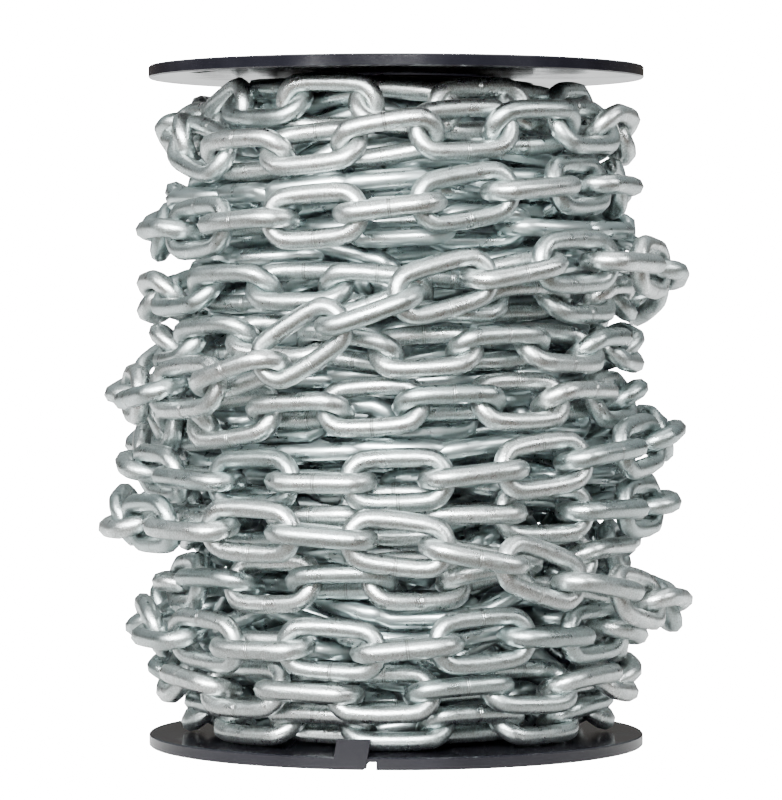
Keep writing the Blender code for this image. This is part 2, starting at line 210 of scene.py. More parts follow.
# Each turn's place, seen from the front: heights and radii in millimetres at five azimuths in
# degrees, with 0 facing the viewer and 90 to the right, then the height and radius at the back
# on the way to the next turn. One link's azimuth and roll fix where all of its links fall. A
# link with roll 0 lies flat on the reel, one with roll 90 stands on edge, and one with roll 45
# has its upper side out.
FRONT_AZIMUTHS = (-90, -45, 0, 45, 90)
BACK_AZIMUTH = 180
Turn = namedtuple("Turn", "name heights radii back_height back_radius link_azimuth roll")
TURNS = (
    Turn("inner_turn_1", (13, 13, 13, 14, 14), (64, 64, 64, 64, 66), 18, 69, 0, 135),
    Turn("inner_turn_2", (23, 22, 24, 24, 23), (76, 76, 75, 75, 75), 38, 71, -22, 65),
    Turn("inner_turn_3", (57, 58, 60, 65, 66), (73, 74, 74, 74, 74), 64, 68, -13, 65),
    Turn("inner_turn_4", (72, 78, 80, 81, 80), (69, 68, 69, 83, 88), 90, 74, 20, 90),
    Turn("inner_turn_5", (107, 109, 117, 117, 117), (75, 76, 77, 77, 76), 117, 71, -23, 65),
    Turn("inner_turn_6", (133, 136, 133, 132, 131), (74, 76, 76, 76, 75), 140, 71, 25, 45),
    Turn("inner_turn_7", (149, 151, 152, 149, 146), (79, 78, 75, 74, 75), 172, 76, -42, 45),
    Turn("inner_turn_8", (207, 208, 209, 210, 209), (64, 63, 63, 63, 65), 207, 69, -17, 45),
    Turn("inner_turn_9", (199, 199, 201, 203, 204), (66, 73, 76, 75, 70), 192, 84, -1, 45),
    Turn("outer_turn_1", (169, 172, 177, 188, 191), (79, 81, 82, 80, 72), 156, 89, -1, 90),
    Turn("outer_turn_2", (112, 118, 149, 162, 158), (89, 88, 87, 87, 89), 129, 89, -5, 90),
    Turn("outer_turn_3", (93, 90, 90, 98, 104), (84, 82, 83, 85, 88), 101, 89, 1, 0),
    Turn("outer_turn_4", (74, 78, 74, 54, 43), (91, 90, 88, 88, 90), 52, 89, 0, 0),
    Turn("outer_turn_5", (41, 38, 35, 43, 36), (83, 81, 81, 81, 77), 36, 88, 3, 90),
)
LAST_LINK_AZIMUTH = 150.0

BEND_RADIUS = 0.5 * (LINK_WIDTH - WIRE)
HALF_STRAIGHT = 0.5 * (LINK_LENGTH - LINK_WIDTH)
MILLIMETRE = 0.001


def chain_route():
    """The whole route: the unwrapped azimuths of its points, the points and the known links.

    The back of each turn is made a little wider or tighter, so that a whole number of links
    fits between the known link of one turn and that of the next.
    """
    stations, heights, radii = [], [], []
    for number, turn in enumerate(TURNS):
        stations += [360 * number + azimuth for azimuth in (*FRONT_AZIMUTHS, BACK_AZIMUTH)]
        heights += [*turn.heights, turn.back_height]
        radii += [*turn.radii, turn.back_radius]
    azimuths = np.arange(-180.0, 360.0 * len(TURNS) - 180.0, ROUTE_STEP)
    window = np.hanning(2 * SMOOTHING + 1)
    window /= window.sum()

    def smoothed(values):
        """Values at the stations, as metres all along the route."""
        padded = np.pad(np.interp(azimuths, stations, values), SMOOTHING, mode="edge")
        return np.convolve(padded, window, "valid") * MILLIMETRE

    height, radius = smoothed(heights), smoothed(radii)
    known = [360 * number + turn.link_azimuth for number, turn in enumerate(TURNS)]
    for first, second in zip(known[:-1], known[1:]):
        inside = (azimuths >= first) & (azimuths <= second)
        back = 180.0 * (np.floor((first + 90.0) / 360.0) * 2 + 1)
        bump = np.where(np.abs(azimuths - back) < 90, np.cos(np.radians(azimuths - back)) ** 2, 0)
        length = lengths_along(on_reel(azimuths, radius, height)[inside])[-1]
        missing = round(length / PITCH) * PITCH - length
        radius = radius + bump * missing / (np.radians(ROUTE_STEP) * bump.sum())
    return azimuths, on_reel(azimuths, radius, height), known


def on_reel(azimuths, radius, height):
    """Points at azimuths about the reel's axis, which start at the viewer's side."""
    turned = np.radians(azimuths)
    return np.stack([radius * np.sin(turned), -radius * np.cos(turned), height], axis=1)


def lengths_along(points):
    """Length along a line of points, up to each of them."""
    steps = np.linalg.norm(np.diff(points, axis=0), axis=1)
    return np.concatenate([[0.0], np.cumsum(steps)])


def place_links():
    """Every link where the route puts it: centres, axes and the number of its turn.

    A link's axes are its length, its width and the line square to both.
    """
    azimuths, points, known = chain_route()
    lengths = lengths_along(points)
    known_lengths = np.interp(known, azimuths, lengths)
    counts = np.round(np.diff(known_lengths) / PITCH).astype(int)
    first = -int((known_lengths[0] - lengths[0]) / PITCH - 0.5)
    end = np.interp(360 * (len(TURNS) - 1) + LAST_LINK_AZIMUTH, azimuths, lengths)
    last = counts.sum() + int((end - known_lengths[-1]) / PITCH)
    numbers = np.arange(first, last + 1)
    known_numbers = np.concatenate([[0], np.cumsum(counts)])

    def at(number):
        """Length along the route of a link number, or of a joint at a half number."""
        inner = np.interp(number, known_numbers, known_lengths)
        before = np.minimum(number - known_numbers[0], 0) * PITCH
        after = np.maximum(number - known_numbers[-1], 0) * PITCH
        return inner + before + after

    def point(number):
        """Points of the route at link numbers."""
        return np.stack([np.interp(at(number), lengths, points[:, k]) for k in range(3)], axis=1)

    starts, ends = point(numbers - 0.5), point(numbers + 0.5)
    rolls = np.array([turn.roll for turn in TURNS], float)
    twists = rolls[1:] - rolls[:-1] - 90.0 * counts
    twists = (twists + 90.0) % 180.0 - 90.0
    rolls = rolls[0] + np.concatenate([[0.0], np.cumsum(twists)])
    roll = np.radians(np.interp(numbers, known_numbers, rolls) + 90.0 * numbers)

    azimuth = np.interp(at(numbers), lengths, azimuths)
    turns = np.floor((azimuth + 180.0) / 360.0).astype(int)
    return (*stand_links(starts, ends, roll), turns)


def stand_links(starts, ends, roll):
    """Links between their joints, as centres and axes, each turned lengthwise by its roll."""
    centres = 0.5 * (starts + ends)
    along = unit(ends - starts)
    outward = centres * np.array([1.0, 1.0, 0.0])
    outward = unit(outward - along * (outward * along).sum(axis=1, keepdims=True))
    upward = np.cross(outward, along)
    upward *= np.sign(upward[:, 2:3])
    width = np.cos(roll)[:, None] * upward + np.sin(roll)[:, None] * outward
    axes = np.stack([along, width, np.cross(along, width)], axis=2)
    return centres, axes


def unit(vectors):
    """The same directions, each of length one."""
    return vectors / np.linalg.norm(vectors, axis=-1, keepdims=True)


def link_centreline():
    """Corner points of a link's wire, as a closed outline with its long sides in two steps."""
    bend = [
        (HALF_STRAIGHT + BEND_RADIUS * math.cos(turn), BEND_RADIUS * math.sin(turn))
        for turn in np.radians((-90, -45, 0, 45, 90))
    ]
    outline = [*bend, (0.0, BEND_RADIUS)]
    outline += [(-x, -y) for x, y in bend] + [(0.0, -BEND_RADIUS)]
    return np.array([(x, y, 0.0) for x, y in outline])


def nearest_points(start_a, span_a, start_b, span_b):
    """Shares along two sets of straight wires at which each pair comes closest."""
    aa = (span_a * span_a).sum(axis=1)
    bb = (span_b * span_b).sum(axis=1)
    ab = (span_a * span_b).sum(axis=1)
    apart = start_a - start_b
    ad = (span_a * apart).sum(axis=1)
    bd = (span_b * apart).sum(axis=1)
    square = np.maximum(aa * bb - ab * ab, 1e-16)
    share_a = np.clip((ab * bd - bb * ad) / square, 0.0, 1.0)
    share_b = np.clip((ab * share_a + bd) / bb, 0.0, 1.0)
    share_a = np.clip((ab * share_b - ad) / aa, 0.0, 1.0)
    return share_a, share_b


def core_radius(height):
    """Radius of the hidden windings at a height."""
    heights, radii = zip(*CORE_SIDE)
    return np.interp(height, heights, radii)


class Spacing:
    """Moves whole links apart until no two wires touch, and keeps them on the reel.

    A link that isn't free stays where it is, and the free ones make room for it.
    """

    def __init__(self, centres, axes, turns, free, inside):
        self.free, self.inside = free.astype(float), inside
        self.centres, self.axes, self.turns = centres.copy(), axes.copy(), turns
        self.start_centres, self.start_axes = centres.copy(), axes.copy()
        self.outline = link_centreline()
        self.turning = 0.5 * (0.5 * LINK_LENGTH) ** 2
        self.clear()

    def clear(self):
        """Forgets all pushes."""
        count = len(self.centres)
        self.shift = np.zeros((count, 3))
        self.turn = np.zeros((count, 3))
        self.hits = np.zeros(count)

    def corners(self):
        """The corner points of each link's wire."""
        return self.centres[:, None] + np.einsum("nij,pj->npi", self.axes, self.outline)

    def push(self, links, points, direction, amount, share):
        """Adds a push on each link at a point, as a shift and a small turn."""
        arm = points - self.centres[links]
        twist = np.cross(arm, direction)
        amount = (amount * share)[:, None]
        np.add.at(self.shift, links, amount * direction)
        np.add.at(self.turn, links, amount * twist / self.turning)
        np.add.at(self.hits, links, 1.0)

    def ease(self, links, points, direction):
        """How readily a push at a point moves each link there."""
        twist = np.cross(points - self.centres[links], direction)
        return 1.0 + (twist * twist).sum(axis=1) / self.turning

    def part_pair(self, a, b, point_a, point_b, direction, amount):
        """Pushes links a and b apart, or together, at a point of each."""
        ease_a = self.ease(a, point_a, direction) * self.free[a]
        ease_b = self.ease(b, point_b, direction) * self.free[b]
        share = 1.0 / np.maximum(ease_a + ease_b, TINY)
        self.push(a, point_a, direction, amount, share * self.free[a])
        self.push(b, point_b, direction, -amount, share * self.free[b])

    def find_neighbours(self):
        """Lists the pairs of links that are near enough to touch soon."""
        count = len(self.centres)
        first, second = np.triu_indices(count, 1)
        apart = np.linalg.norm(self.centres[first] - self.centres[second], axis=1)
        near = apart < NEIGHBOUR_REACH
        hung = (second - first == 1) & (self.turns[first] == self.turns[second])
        stuck = (self.free[first] == 0) & (self.free[second] == 0)
        wanted = near & ~hung & ~stuck
        self.first, self.second = first[wanted], second[wanted]

    def part_wires(self):
        """Pushes apart each two wires that are closer than their spacing."""
        corners = self.corners()
        spans = np.roll(corners, -1, axis=1) - corners
        middles = corners + 0.5 * spans
        halves = 0.5 * np.linalg.norm(spans, axis=2)
        a, b = self.first, self.second
        apart = np.linalg.norm(middles[a][:, :, None] - middles[b][:, None], axis=3)
        reach = halves[a][:, :, None] + halves[b][:, None] + WIRE_SPACING
        pair, side_a, side_b = np.nonzero(apart < reach)
        a, b = a[pair], b[pair]
        start_a, span_a = corners[a, side_a], spans[a, side_a]
        start_b, span_b = corners[b, side_b], spans[b, side_b]
        share_a, share_b = nearest_points(start_a, span_a, start_b, span_b)
        point_a = start_a + share_a[:, None] * span_a
        point_b = start_b + share_b[:, None] * span_b
        gap = point_a - point_b
        distance = np.linalg.norm(gap, axis=1)
        close = distance < WIRE_SPACING
        direction = gap[close] / np.maximum(distance[close], TINY)[:, None]
        amount = WIRE_SPACING - distance[close]
        self.part_pair(a[close], b[close], point_a[close], point_b[close], direction, amount)

    def join_neighbours(self):
        """Keeps the bend of each link in the bend of the next."""
        a = np.arange(len(self.centres) - 1)
        a = a[(self.free[:-1] == self.free[1:]) & (self.free[1:] > 0)]
        b = a + 1
        hung = self.turns[a] == self.turns[b]
        reach = np.where(hung, 0.5 * PITCH, 0.5 * (LINK_LENGTH - WIRE) - 0.5 * WIRE_SPACING)
        end_a = self.centres[a] + self.axes[a, :, 0] * reach[:, None]
        end_b = self.centres[b] - self.axes[b, :, 0] * reach[:, None]
        gap = end_b - end_a
        distance = np.linalg.norm(gap, axis=1)
        direction = gap / np.maximum(distance, TINY)[:, None]
        amount = np.where(hung, distance, np.maximum(distance - LOOSENESS, 0.0))
        self.part_pair(a, b, end_a, end_b, direction, amount)

    def keep_on_reel(self):
        """Pushes links out of the hidden windings and the flanges, and in at the outside."""
        corners = self.corners()
        radial = np.linalg.norm(corners[:, :, :2], axis=2)
        outward = np.concatenate([corners[:, :, :2], np.zeros_like(radial)[:, :, None]], axis=2)
        outward /= radial[:, :, None]
        upward = np.zeros_like(outward)
        upward[:, :, 2] = 1.0
        height = corners[:, :, 2]
        lifts = (-0.5 * WIRE, 0.0, 0.5 * WIRE)
        inside = np.maximum.reduce([self.inside(height + lift) for lift in lifts])
        walls = (
            (outward, inside + WALL_SPACING - radial),
            (-outward, radial + 0.5 * WIRE - LARGEST_RADIUS),
            (upward, FLANGE_THICKNESS + WALL_SPACING - height),
            (-upward, height - REEL_HEIGHT + FLANGE_THICKNESS + WALL_SPACING),
        )
        for direction, depth in walls:
            link, corner = np.nonzero((depth > 0) & (self.free[:, None] > 0))
            points, direction = corners[link, corner], direction[link, corner]
            share = 1.0 / self.ease(link, points, direction)
            self.push(link, points, direction, depth[link, corner], share)

    def move(self, hold):
        """Moves the links as they were pushed, and back towards their first places by a share."""
        hits = np.maximum(self.hits, 1.0)[:, None]
        ease = np.minimum(CROWDED_STEP / np.sqrt(hits), SURE_STEP)
        hold = hold * self.free[:, None]
        self.centres += self.shift * ease + hold * (self.start_centres - self.centres)
        lean = np.cross(self.axes, self.start_axes, axisa=1, axisb=1, axisc=1).sum(axis=2)
        turn = self.turn * ease + 0.5 * hold * lean
        angle = np.linalg.norm(turn, axis=1, keepdims=True)
        turn *= np.minimum(1.0, LARGEST_TURN / np.maximum(angle, TINY))
        swept = np.cross(turn[:, None], self.axes.transpose(0, 2, 1)).transpose(0, 2, 1)
        turned = self.axes + swept
        left, _, right = np.linalg.svd(turned)
        self.axes = left @ right
        self.clear()

    def draw_out(self, step):
        """Moves the outer ones of the free links a step away from the axis."""
        outward = self.centres * np.array([1.0, 1.0, 0.0])
        radius = np.linalg.norm(outward, axis=1, keepdims=True)
        drawn = (radius > DRAWN_RADII[0]) & (radius < DRAWN_RADII[1]) & (self.free[:, None] > 0)
        self.centres += np.where(drawn, step * outward / radius, 0.0)

    def run(self, passes, holding, draw):
        """Moves the links again and again: centres and axes, rounded."""
        for count in range(passes):
            if count % NEIGHBOUR_PASSES == 0:
                self.find_neighbours()
            self.part_wires()
            self.keep_on_reel()
            self.move(HOLD if count < holding else 0.0)
            self.draw_out(draw if count < DRAWN_SHARE * passes else 0.0)
            self.join_neighbours()
            self.move(0.0)
        return np.round(self.centres, PLACE_DIGITS), np.round(self.axes, AXIS_DIGITS)


@lru_cache(maxsize=None)
def wound_links():
    """The visible links: centres, axes and the number of the turn that each is in."""
    centres, axes, turns = place_links()
    free = np.ones(len(centres), bool)
    spacing = Spacing(centres, axes, turns, free, core_radius)
    return (*spacing.run(SPACING_PASSES, HOLDING_PASSES, 0.0), turns)


def hidden_links():
    """Links of the inner windings, laid where the visible ones leave room."""
    centres, axes, turns = wound_links()
    stations = 360.0 * np.arange(len(HIDDEN_ROWS))
    azimuths = np.arange(0.0, stations[-1], ROUTE_STEP)
    heights, radii = np.array(HIDDEN_ROWS).T * MILLIMETRE
    height, radius = np.interp(azimuths, stations, heights), np.interp(azimuths, stations, radii)
    points = on_reel(azimuths, radius, height)
    lengths = lengths_along(points)
    joints = np.arange(0.0, lengths[-1], PITCH)
    ends = np.stack([np.interp(joints, lengths, points[:, k]) for k in range(3)], axis=1)
    roll = np.radians(HIDDEN_ROLL + 90.0 * np.arange(len(ends) - 1))
    inner_centres, inner_axes = stand_links(ends[:-1], ends[1:], roll)
    hidden = np.full(len(inner_centres), len(TURNS))
    free = np.concatenate([turns, hidden]) == len(TURNS)
    spacing = Spacing(
        np.concatenate([centres, inner_centres]),
        np.concatenate([axes, inner_axes]),
        np.concatenate([turns, hidden]),
        free,
        lambda height: np.full_like(height, BARREL_RADIUS),
    )
    centres, axes = spacing.run(HIDDEN_PASSES, HIDDEN_HOLDING, DRAW)
    return centres[free], axes[free]


def deselect():
    """Leaves nothing selected."""
    bpy.ops.object.select_all(action="DESELECT")


def pick(piece):
    """Selects one piece alone, as the active one."""
    deselect()
    bpy.context.view_layer.objects.active = piece
    piece.select_set(True)


def edit(piece):
    """Starts edit mode on a piece with all of it selected."""
    pick(piece)
    bpy.ops.object.mode_set(mode="EDIT")
    bpy.ops.mesh.select_all(action="SELECT")


def select_points(piece, wanted):
    """In edit mode, selects the points that a test on their place picks."""
    bpy.ops.mesh.select_all(action="DESELECT")
    bpy.ops.object.mode_set(mode="OBJECT")
    for vertex in piece.data.vertices:
        vertex.select = bool(wanted(vertex.co))
    bpy.ops.object.mode_set(mode="EDIT")


def drawn_in(corners):
    """How much smaller a subdivision makes a ring of so many corners."""
    return (2.0 + math.cos(2 * math.pi / corners)) / 3.0


def link_model(name, bends, sides, softened):
    """One link along +X in round wire, larger if a subdivision is to draw it in."""
    bend, wire = (drawn_in(bends), drawn_in(sides)) if softened else (1.0, 1.0)
    deselect()
    bpy.ops.mesh.primitive_torus_add(
        major_radius=BEND_RADIUS / bend,
        minor_radius=0.5 * ROUND_WIRE / wire,
        major_segments=bends,
        minor_segments=sides,
        rotation=(0, 0, math.pi / bends),
    )
    piece = bpy.context.object
    piece.name = name
    bpy.ops.object.transform_apply(location=False, rotation=True, scale=False)
    edit(piece)
    for way in (-1, 1):
        select_points(piece, lambda place: place.x * way > 0)
        bpy.ops.transform.translate(value=(way * (HALF_STRAIGHT + DRAWN_OUT), 0, 0))
    bpy.ops.mesh.select_all(action="SELECT")
    bpy.ops.mesh.normals_make_consistent(inside=False)
    bpy.ops.object.mode_set(mode="OBJECT")
    bpy.ops.object.shade_smooth()
    mesh = piece.data.copy()
    bpy.data.objects.remove(piece)
    return mesh


def from_weld(place):
    """How far along the welded side a point is, or far off on the other side."""
    return place.x if place.y > 0 else math.copysign(FAR_FROM_WELD, place.x)


def joined_links(name, link, centres, axes, random, dullest):
    """A length of chain as one piece, with each link's tone and way from its weld."""
    count = len(link.vertices)
    points = np.empty(count * 3)
    link.vertices.foreach_get("co", points)
    points = points.reshape(-1, 3)
    turned = random.choice([-1.0, 1.0], (len(centres), 1, 1))
    axes = axes * np.concatenate([np.ones_like(turned), turned, turned], axis=2)
    placed = centres[:, None] + np.einsum("nij,pj->npi", axes, points)
    faces = np.array([face.vertices for face in link.polygons])
    starts = count * np.arange(len(centres))[:, None, None]
    mesh = bpy.data.meshes.new(name)
    mesh.from_pydata(
        placed.reshape(-1, 3).tolist(), [], (starts + faces).reshape(-1, faces.shape[1]).tolist()
    )
    mesh.shade_smooth()
    weld = np.array([from_weld(vertex.co) for vertex in link.vertices])
    tone = dullest * random.random(len(centres))
    values = {"tone": np.repeat(tone, count), "weld": np.tile(weld, len(centres))}
    for attribute, value in values.items():
        made = mesh.attributes.new(attribute, "FLOAT", "POINT")
        made.data.foreach_set("value", value.astype(np.float32))
    piece = bpy.data.objects.new(name, mesh)
    bpy.context.scene.collection.objects.link(piece)
    return piece


def turned_piece(name, outline):
    """A closed (radius, height) outline, spun about +Z."""
    deselect()
    bpy.ops.mesh.primitive_circle_add(vertices=len(outline), radius=outline[0][0])
    piece = bpy.context.object
    piece.name = name
    for vertex, (radius, height) in zip(piece.data.vertices, outline):
        vertex.co = (radius, 0, height)
    edit(piece)
    bpy.ops.mesh.spin(steps=TURNED_STEPS, angle=2 * math.pi, center=(0, 0, 0), axis=(0, 0, 1))
    bpy.ops.mesh.select_all(action="SELECT")
    bpy.ops.mesh.remove_doubles(threshold=MERGED_POINTS)
    bpy.ops.mesh.normals_make_consistent(inside=False)
    bpy.ops.object.mode_set(mode="OBJECT")
    return piece


def flange_outline(bottom, plain_top):
    """A plate with softened edges and a shallow moulded recess in its outer face."""
    low, high = bottom, bottom + FLANGE_THICKNESS
    inner, outer = RECESS_RADII
    floor = high - RECESS_DEPTH
    outline = [
        (SPINDLE_RADIUS, low + RIM_BEVEL),
        (SPINDLE_RADIUS + RIM_BEVEL, low),
        (FLANGE_RADIUS - RIM_BEVEL, low),
        (FLANGE_RADIUS, low + RIM_BEVEL),
        (FLANGE_RADIUS, high - RIM_BEVEL),
        (FLANGE_RADIUS - RIM_BEVEL, high),
        (outer, high),
        (outer - RECESS_DEPTH, floor),
        (inner + RECESS_DEPTH, floor),
        (inner, high),
        (SPINDLE_RADIUS + RIM_BEVEL, high),
        (SPINDLE_RADIUS, high - RIM_BEVEL),
    ]
    if plain_top:
        outline = [(radius, low + high - height) for radius, height in outline]
    return outline


def rim_block(name, azimuth, radius, bottom, size, lean=0.0):
    """A block at the rim, turned to its azimuth, whose upper edge leans to one side."""
    deselect()
    turned = math.radians(azimuth)
    middle = radius - 0.5 * size[1]
    bpy.ops.mesh.primitive_cube_add(size=1, scale=size)
    block = bpy.context.object
    block.name = name
    edit(block)
    select_points(block, lambda place: place.z > 0)
    bpy.ops.transform.translate(value=(lean, 0, 0))
    bpy.ops.object.mode_set(mode="OBJECT")
    block.rotation_euler.z = turned
    block.location = (
        middle * math.sin(turned), -middle * math.cos(turned), bottom + 0.5 * size[2]
    )
    bpy.ops.object.transform_apply(location=True, rotation=True, scale=True)
    return block


def work_in(piece, block, operation):
    """Cuts a block out of a piece, or joins it on."""
    pick(piece)
    change = piece.modifiers.new(block.name, "BOOLEAN")
    change.operation = operation
    change.object = block
    bpy.ops.object.modifier_apply(modifier=change.name)
    bpy.data.objects.remove(block)


def smooth(piece):
    """Shades a piece smooth, but for its sharp edges."""
    pick(piece)
    bpy.ops.object.shade_smooth_by_angle(angle=math.radians(SHARP_EDGE))


def finish_piece(piece, finish, node):
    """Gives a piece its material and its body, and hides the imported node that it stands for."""
    piece.data.materials.clear()
    piece.data.materials.append(finish)
    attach(piece, "root")
    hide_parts(node)


def add_node(tree, kind, **values):
    """A shader node with its settings, and its sockets' values by name."""
    made = tree.nodes.new(kind)
    for name, value in values.items():
        if hasattr(made, name):
            setattr(made, name, value)
        else:
            made.inputs[name.replace("_", " ")].default_value = value
    return made


def feed(tree, socket, value):
    """Gives a socket a value, or links it to another."""
    if isinstance(value, bpy.types.NodeSocket):
        tree.links.new(value, socket)
    else:
        socket.default_value = value


def worked_out(tree, operation, *values):
    """The result of a step of arithmetic. Each value is a number or a socket."""
    made = add_node(tree, "ShaderNodeMath", operation=operation)
    for socket, value in zip(made.inputs, values):
        feed(tree, socket, value)
    return made.outputs[0]


def grain_group():
    """Fine grain on object coordinates: a speckle mask, a cloudier mask and a height."""
    known = bpy.data.node_groups.get("surface_grain")
    if known:
        return known
    tree = bpy.data.node_groups.new("surface_grain", "ShaderNodeTree")
    for name, default in zip(SCALE_NAMES, ZINC_SCALES):
        socket = tree.interface.new_socket(name, in_out="INPUT", socket_type="NodeSocketFloat")
        socket.default_value = default
    for name in ("Speckle", "Cloud", "Height"):
        tree.interface.new_socket(name, in_out="OUTPUT", socket_type="NodeSocketFloat")
    entry, leave = tree.nodes.new("NodeGroupInput"), tree.nodes.new("NodeGroupOutput")
    place = tree.nodes.new("ShaderNodeTexCoord").outputs["Object"]
    fine = add_node(tree, "ShaderNodeTexNoise", Detail=2.0, Roughness=0.6)
    cloud = add_node(tree, "ShaderNodeTexNoise", Detail=3.0, Roughness=0.55)
    for noise, scale in zip((fine, cloud), SCALE_NAMES):
        tree.links.new(place, noise.inputs["Vector"])
        tree.links.new(entry.outputs[scale], noise.inputs["Scale"])
    speckle = ranged(tree, fine.outputs["Fac"], 0.0, 1.0, SPECKLE_ENDS)
    tree.links.new(speckle, leave.inputs["Speckle"])
    spread = ranged(tree, cloud.outputs["Fac"], 0.0, 1.0, CLOUD_ENDS)
    tree.links.new(spread, leave.inputs["Cloud"])
    sources = cloud.outputs["Fac"], CLOUD_HEIGHT, fine.outputs["Fac"]
    tree.links.new(worked_out(tree, "MULTIPLY_ADD", *sources), leave.inputs["Height"])
    return tree


def grain_node(tree, scales):
    """The grain at a material's own scales."""
    grain = add_node(tree, "ShaderNodeGroup", node_tree=grain_group())
    for name, scale in zip(SCALE_NAMES, scales):
        grain.inputs[name].default_value = scale
    return grain


def mixed(tree, share, first, second):
    """The colour between two others: each is a colour or a socket, and so is the share."""
    mix = tree.nodes.new("ShaderNodeMix")
    mix.data_type = "RGBA"
    for number, value in ((0, share), (6, first), (7, second)):
        feed(tree, mix.inputs[number], value)
    return mix.outputs[2]


def ranged(tree, value, low, high, ends=(0.0, 1.0)):
    """Goes from low to high as a value goes from one of its ends to the other."""
    made = add_node(
        tree, "ShaderNodeMapRange", From_Min=ends[0], From_Max=ends[1], To_Min=low, To_Max=high
    )
    tree.links.new(value, made.inputs["Value"])
    return made.outputs["Result"]


def weld_group():
    """The weld's two fine rings, as a mask, from the way along the wire."""
    known = bpy.data.node_groups.get("weld_rings")
    if known:
        return known
    tree = bpy.data.node_groups.new("weld_rings", "ShaderNodeTree")
    tree.interface.new_socket("Way", in_out="INPUT", socket_type="NodeSocketFloat")
    tree.interface.new_socket("Rings", in_out="OUTPUT", socket_type="NodeSocketFloat")
    entry, leave = tree.nodes.new("NodeGroupInput"), tree.nodes.new("NodeGroupOutput")
    way = worked_out(tree, "ABSOLUTE", entry.outputs["Way"])
    near = worked_out(tree, "ABSOLUTE", worked_out(tree, "SUBTRACT", way, WELD_BAND))
    tree.links.new(ranged(tree, near, 0.0, 1.0, WELD_RING), leave.inputs["Rings"])
    return tree


def add_bump(tree, shader, height, strength, depth):
    """Gives a shader a bump of a strength and a depth from a height."""
    bump = add_node(tree, "ShaderNodeBump", Strength=strength, Distance=depth)
    tree.links.new(height, bump.inputs["Height"])
    tree.links.new(bump.outputs["Normal"], shader.inputs["Normal"])


def blank_finish(name):
    """A new material, its nodes and its shader."""
    finish = bpy.data.materials.new(name)
    finish.use_nodes = True
    return finish, finish.node_tree, finish.node_tree.nodes["Principled BSDF"]


def shown_to_camera(tree, plain, shown, leave):
    """Gives one shader to the camera, and the plain one to all else."""
    seen = tree.nodes.new("ShaderNodeLightPath").outputs["Is Camera Ray"]
    mix = tree.nodes.new("ShaderNodeMixShader")
    for socket, source in zip(mix.inputs, (seen, plain.outputs[0], shown.outputs[0])):
        tree.links.new(source, socket)
    tree.links.new(mix.outputs[0], leave.inputs["Surface"])


def zinc_steel(name, brightest, graininess):
    """Bright zinc plating: satin, with a dark grain and fine rings at the welds.

    The colours go from the brightest to the dull one by link and by cloud. For the hidden links
    and windings, the brightest colour given is darkened as painted shade.
    """
    known = bpy.data.materials.get(name)
    if known:
        return known
    finish, tree, shader = blank_finish(name)
    look = bpy.context.scene.chain_finishes
    light, dark, pit = (*brightest, 1.0), (*look.zinc_dark, 1.0), (*look.zinc_pits, 1.0)
    grain = grain_node(tree, ZINC_SCALES)
    tone = add_node(tree, "ShaderNodeAttribute", attribute_name="tone").outputs["Fac"]
    way = add_node(tree, "ShaderNodeAttribute", attribute_name="weld").outputs["Fac"]
    weld = add_node(tree, "ShaderNodeGroup", node_tree=weld_group())
    tree.links.new(way, weld.inputs["Way"])
    colour = mixed(tree, tone, light, dark)
    colour = mixed(tree, ranged(tree, grain.outputs["Cloud"], 0.0, CLOUDS_DULL), colour, dark)
    pits = ranged(tree, grain.outputs["Speckle"], PITS_DARKEN * graininess, 0.0)
    marks = ranged(tree, weld.outputs["Rings"], 0.0, WELDS_DARKEN * graininess)
    colour = mixed(tree, marks, mixed(tree, pits, colour, pit), pit)
    tree.links.new(colour, shader.inputs["Base Color"])
    smoothest = look.zinc_roughness
    rough = ranged(tree, grain.outputs["Cloud"], smoothest, smoothest + CLOUDS_ROUGHEN)
    tree.links.new(rough, shader.inputs["Roughness"])
    sources = weld.outputs["Rings"], -WELDS_SINK, grain.outputs["Height"]
    height = worked_out(tree, "MULTIPLY_ADD", *sources)
    add_bump(tree, shader, height, look.zinc_grain * graininess, ZINC_DEPTH)
    shader.inputs["Metallic"].default_value = 1.0
    return finish


def black_plastic():
    """Glossy moulded plastic with a faint grain and clouds of dust."""
    known = bpy.data.materials.get("black_plastic")
    if known:
        return known
    finish, tree, shader = blank_finish("black_plastic")
    look = bpy.context.scene.chain_finishes
    plain, dusty = (*look.plastic, 1.0), (*look.plastic_dust, 1.0)
    grain = grain_node(tree, PLASTIC_SCALES)
    share = ranged(tree, grain.outputs["Cloud"], 0.0, DUST_SHARE)
    tree.links.new(mixed(tree, share, plain, dusty), shader.inputs["Base Color"])
    smoothest = look.plastic_roughness
    rough = ranged(tree, grain.outputs["Cloud"], smoothest, smoothest + DUST_ROUGHENS)
    tree.links.new(rough, shader.inputs["Roughness"])
    add_bump(tree, shader, grain.outputs["Height"], PLASTIC_GRAIN, PLASTIC_DEPTH)
    shader.inputs["IOR"].default_value = 1.5
    return finish


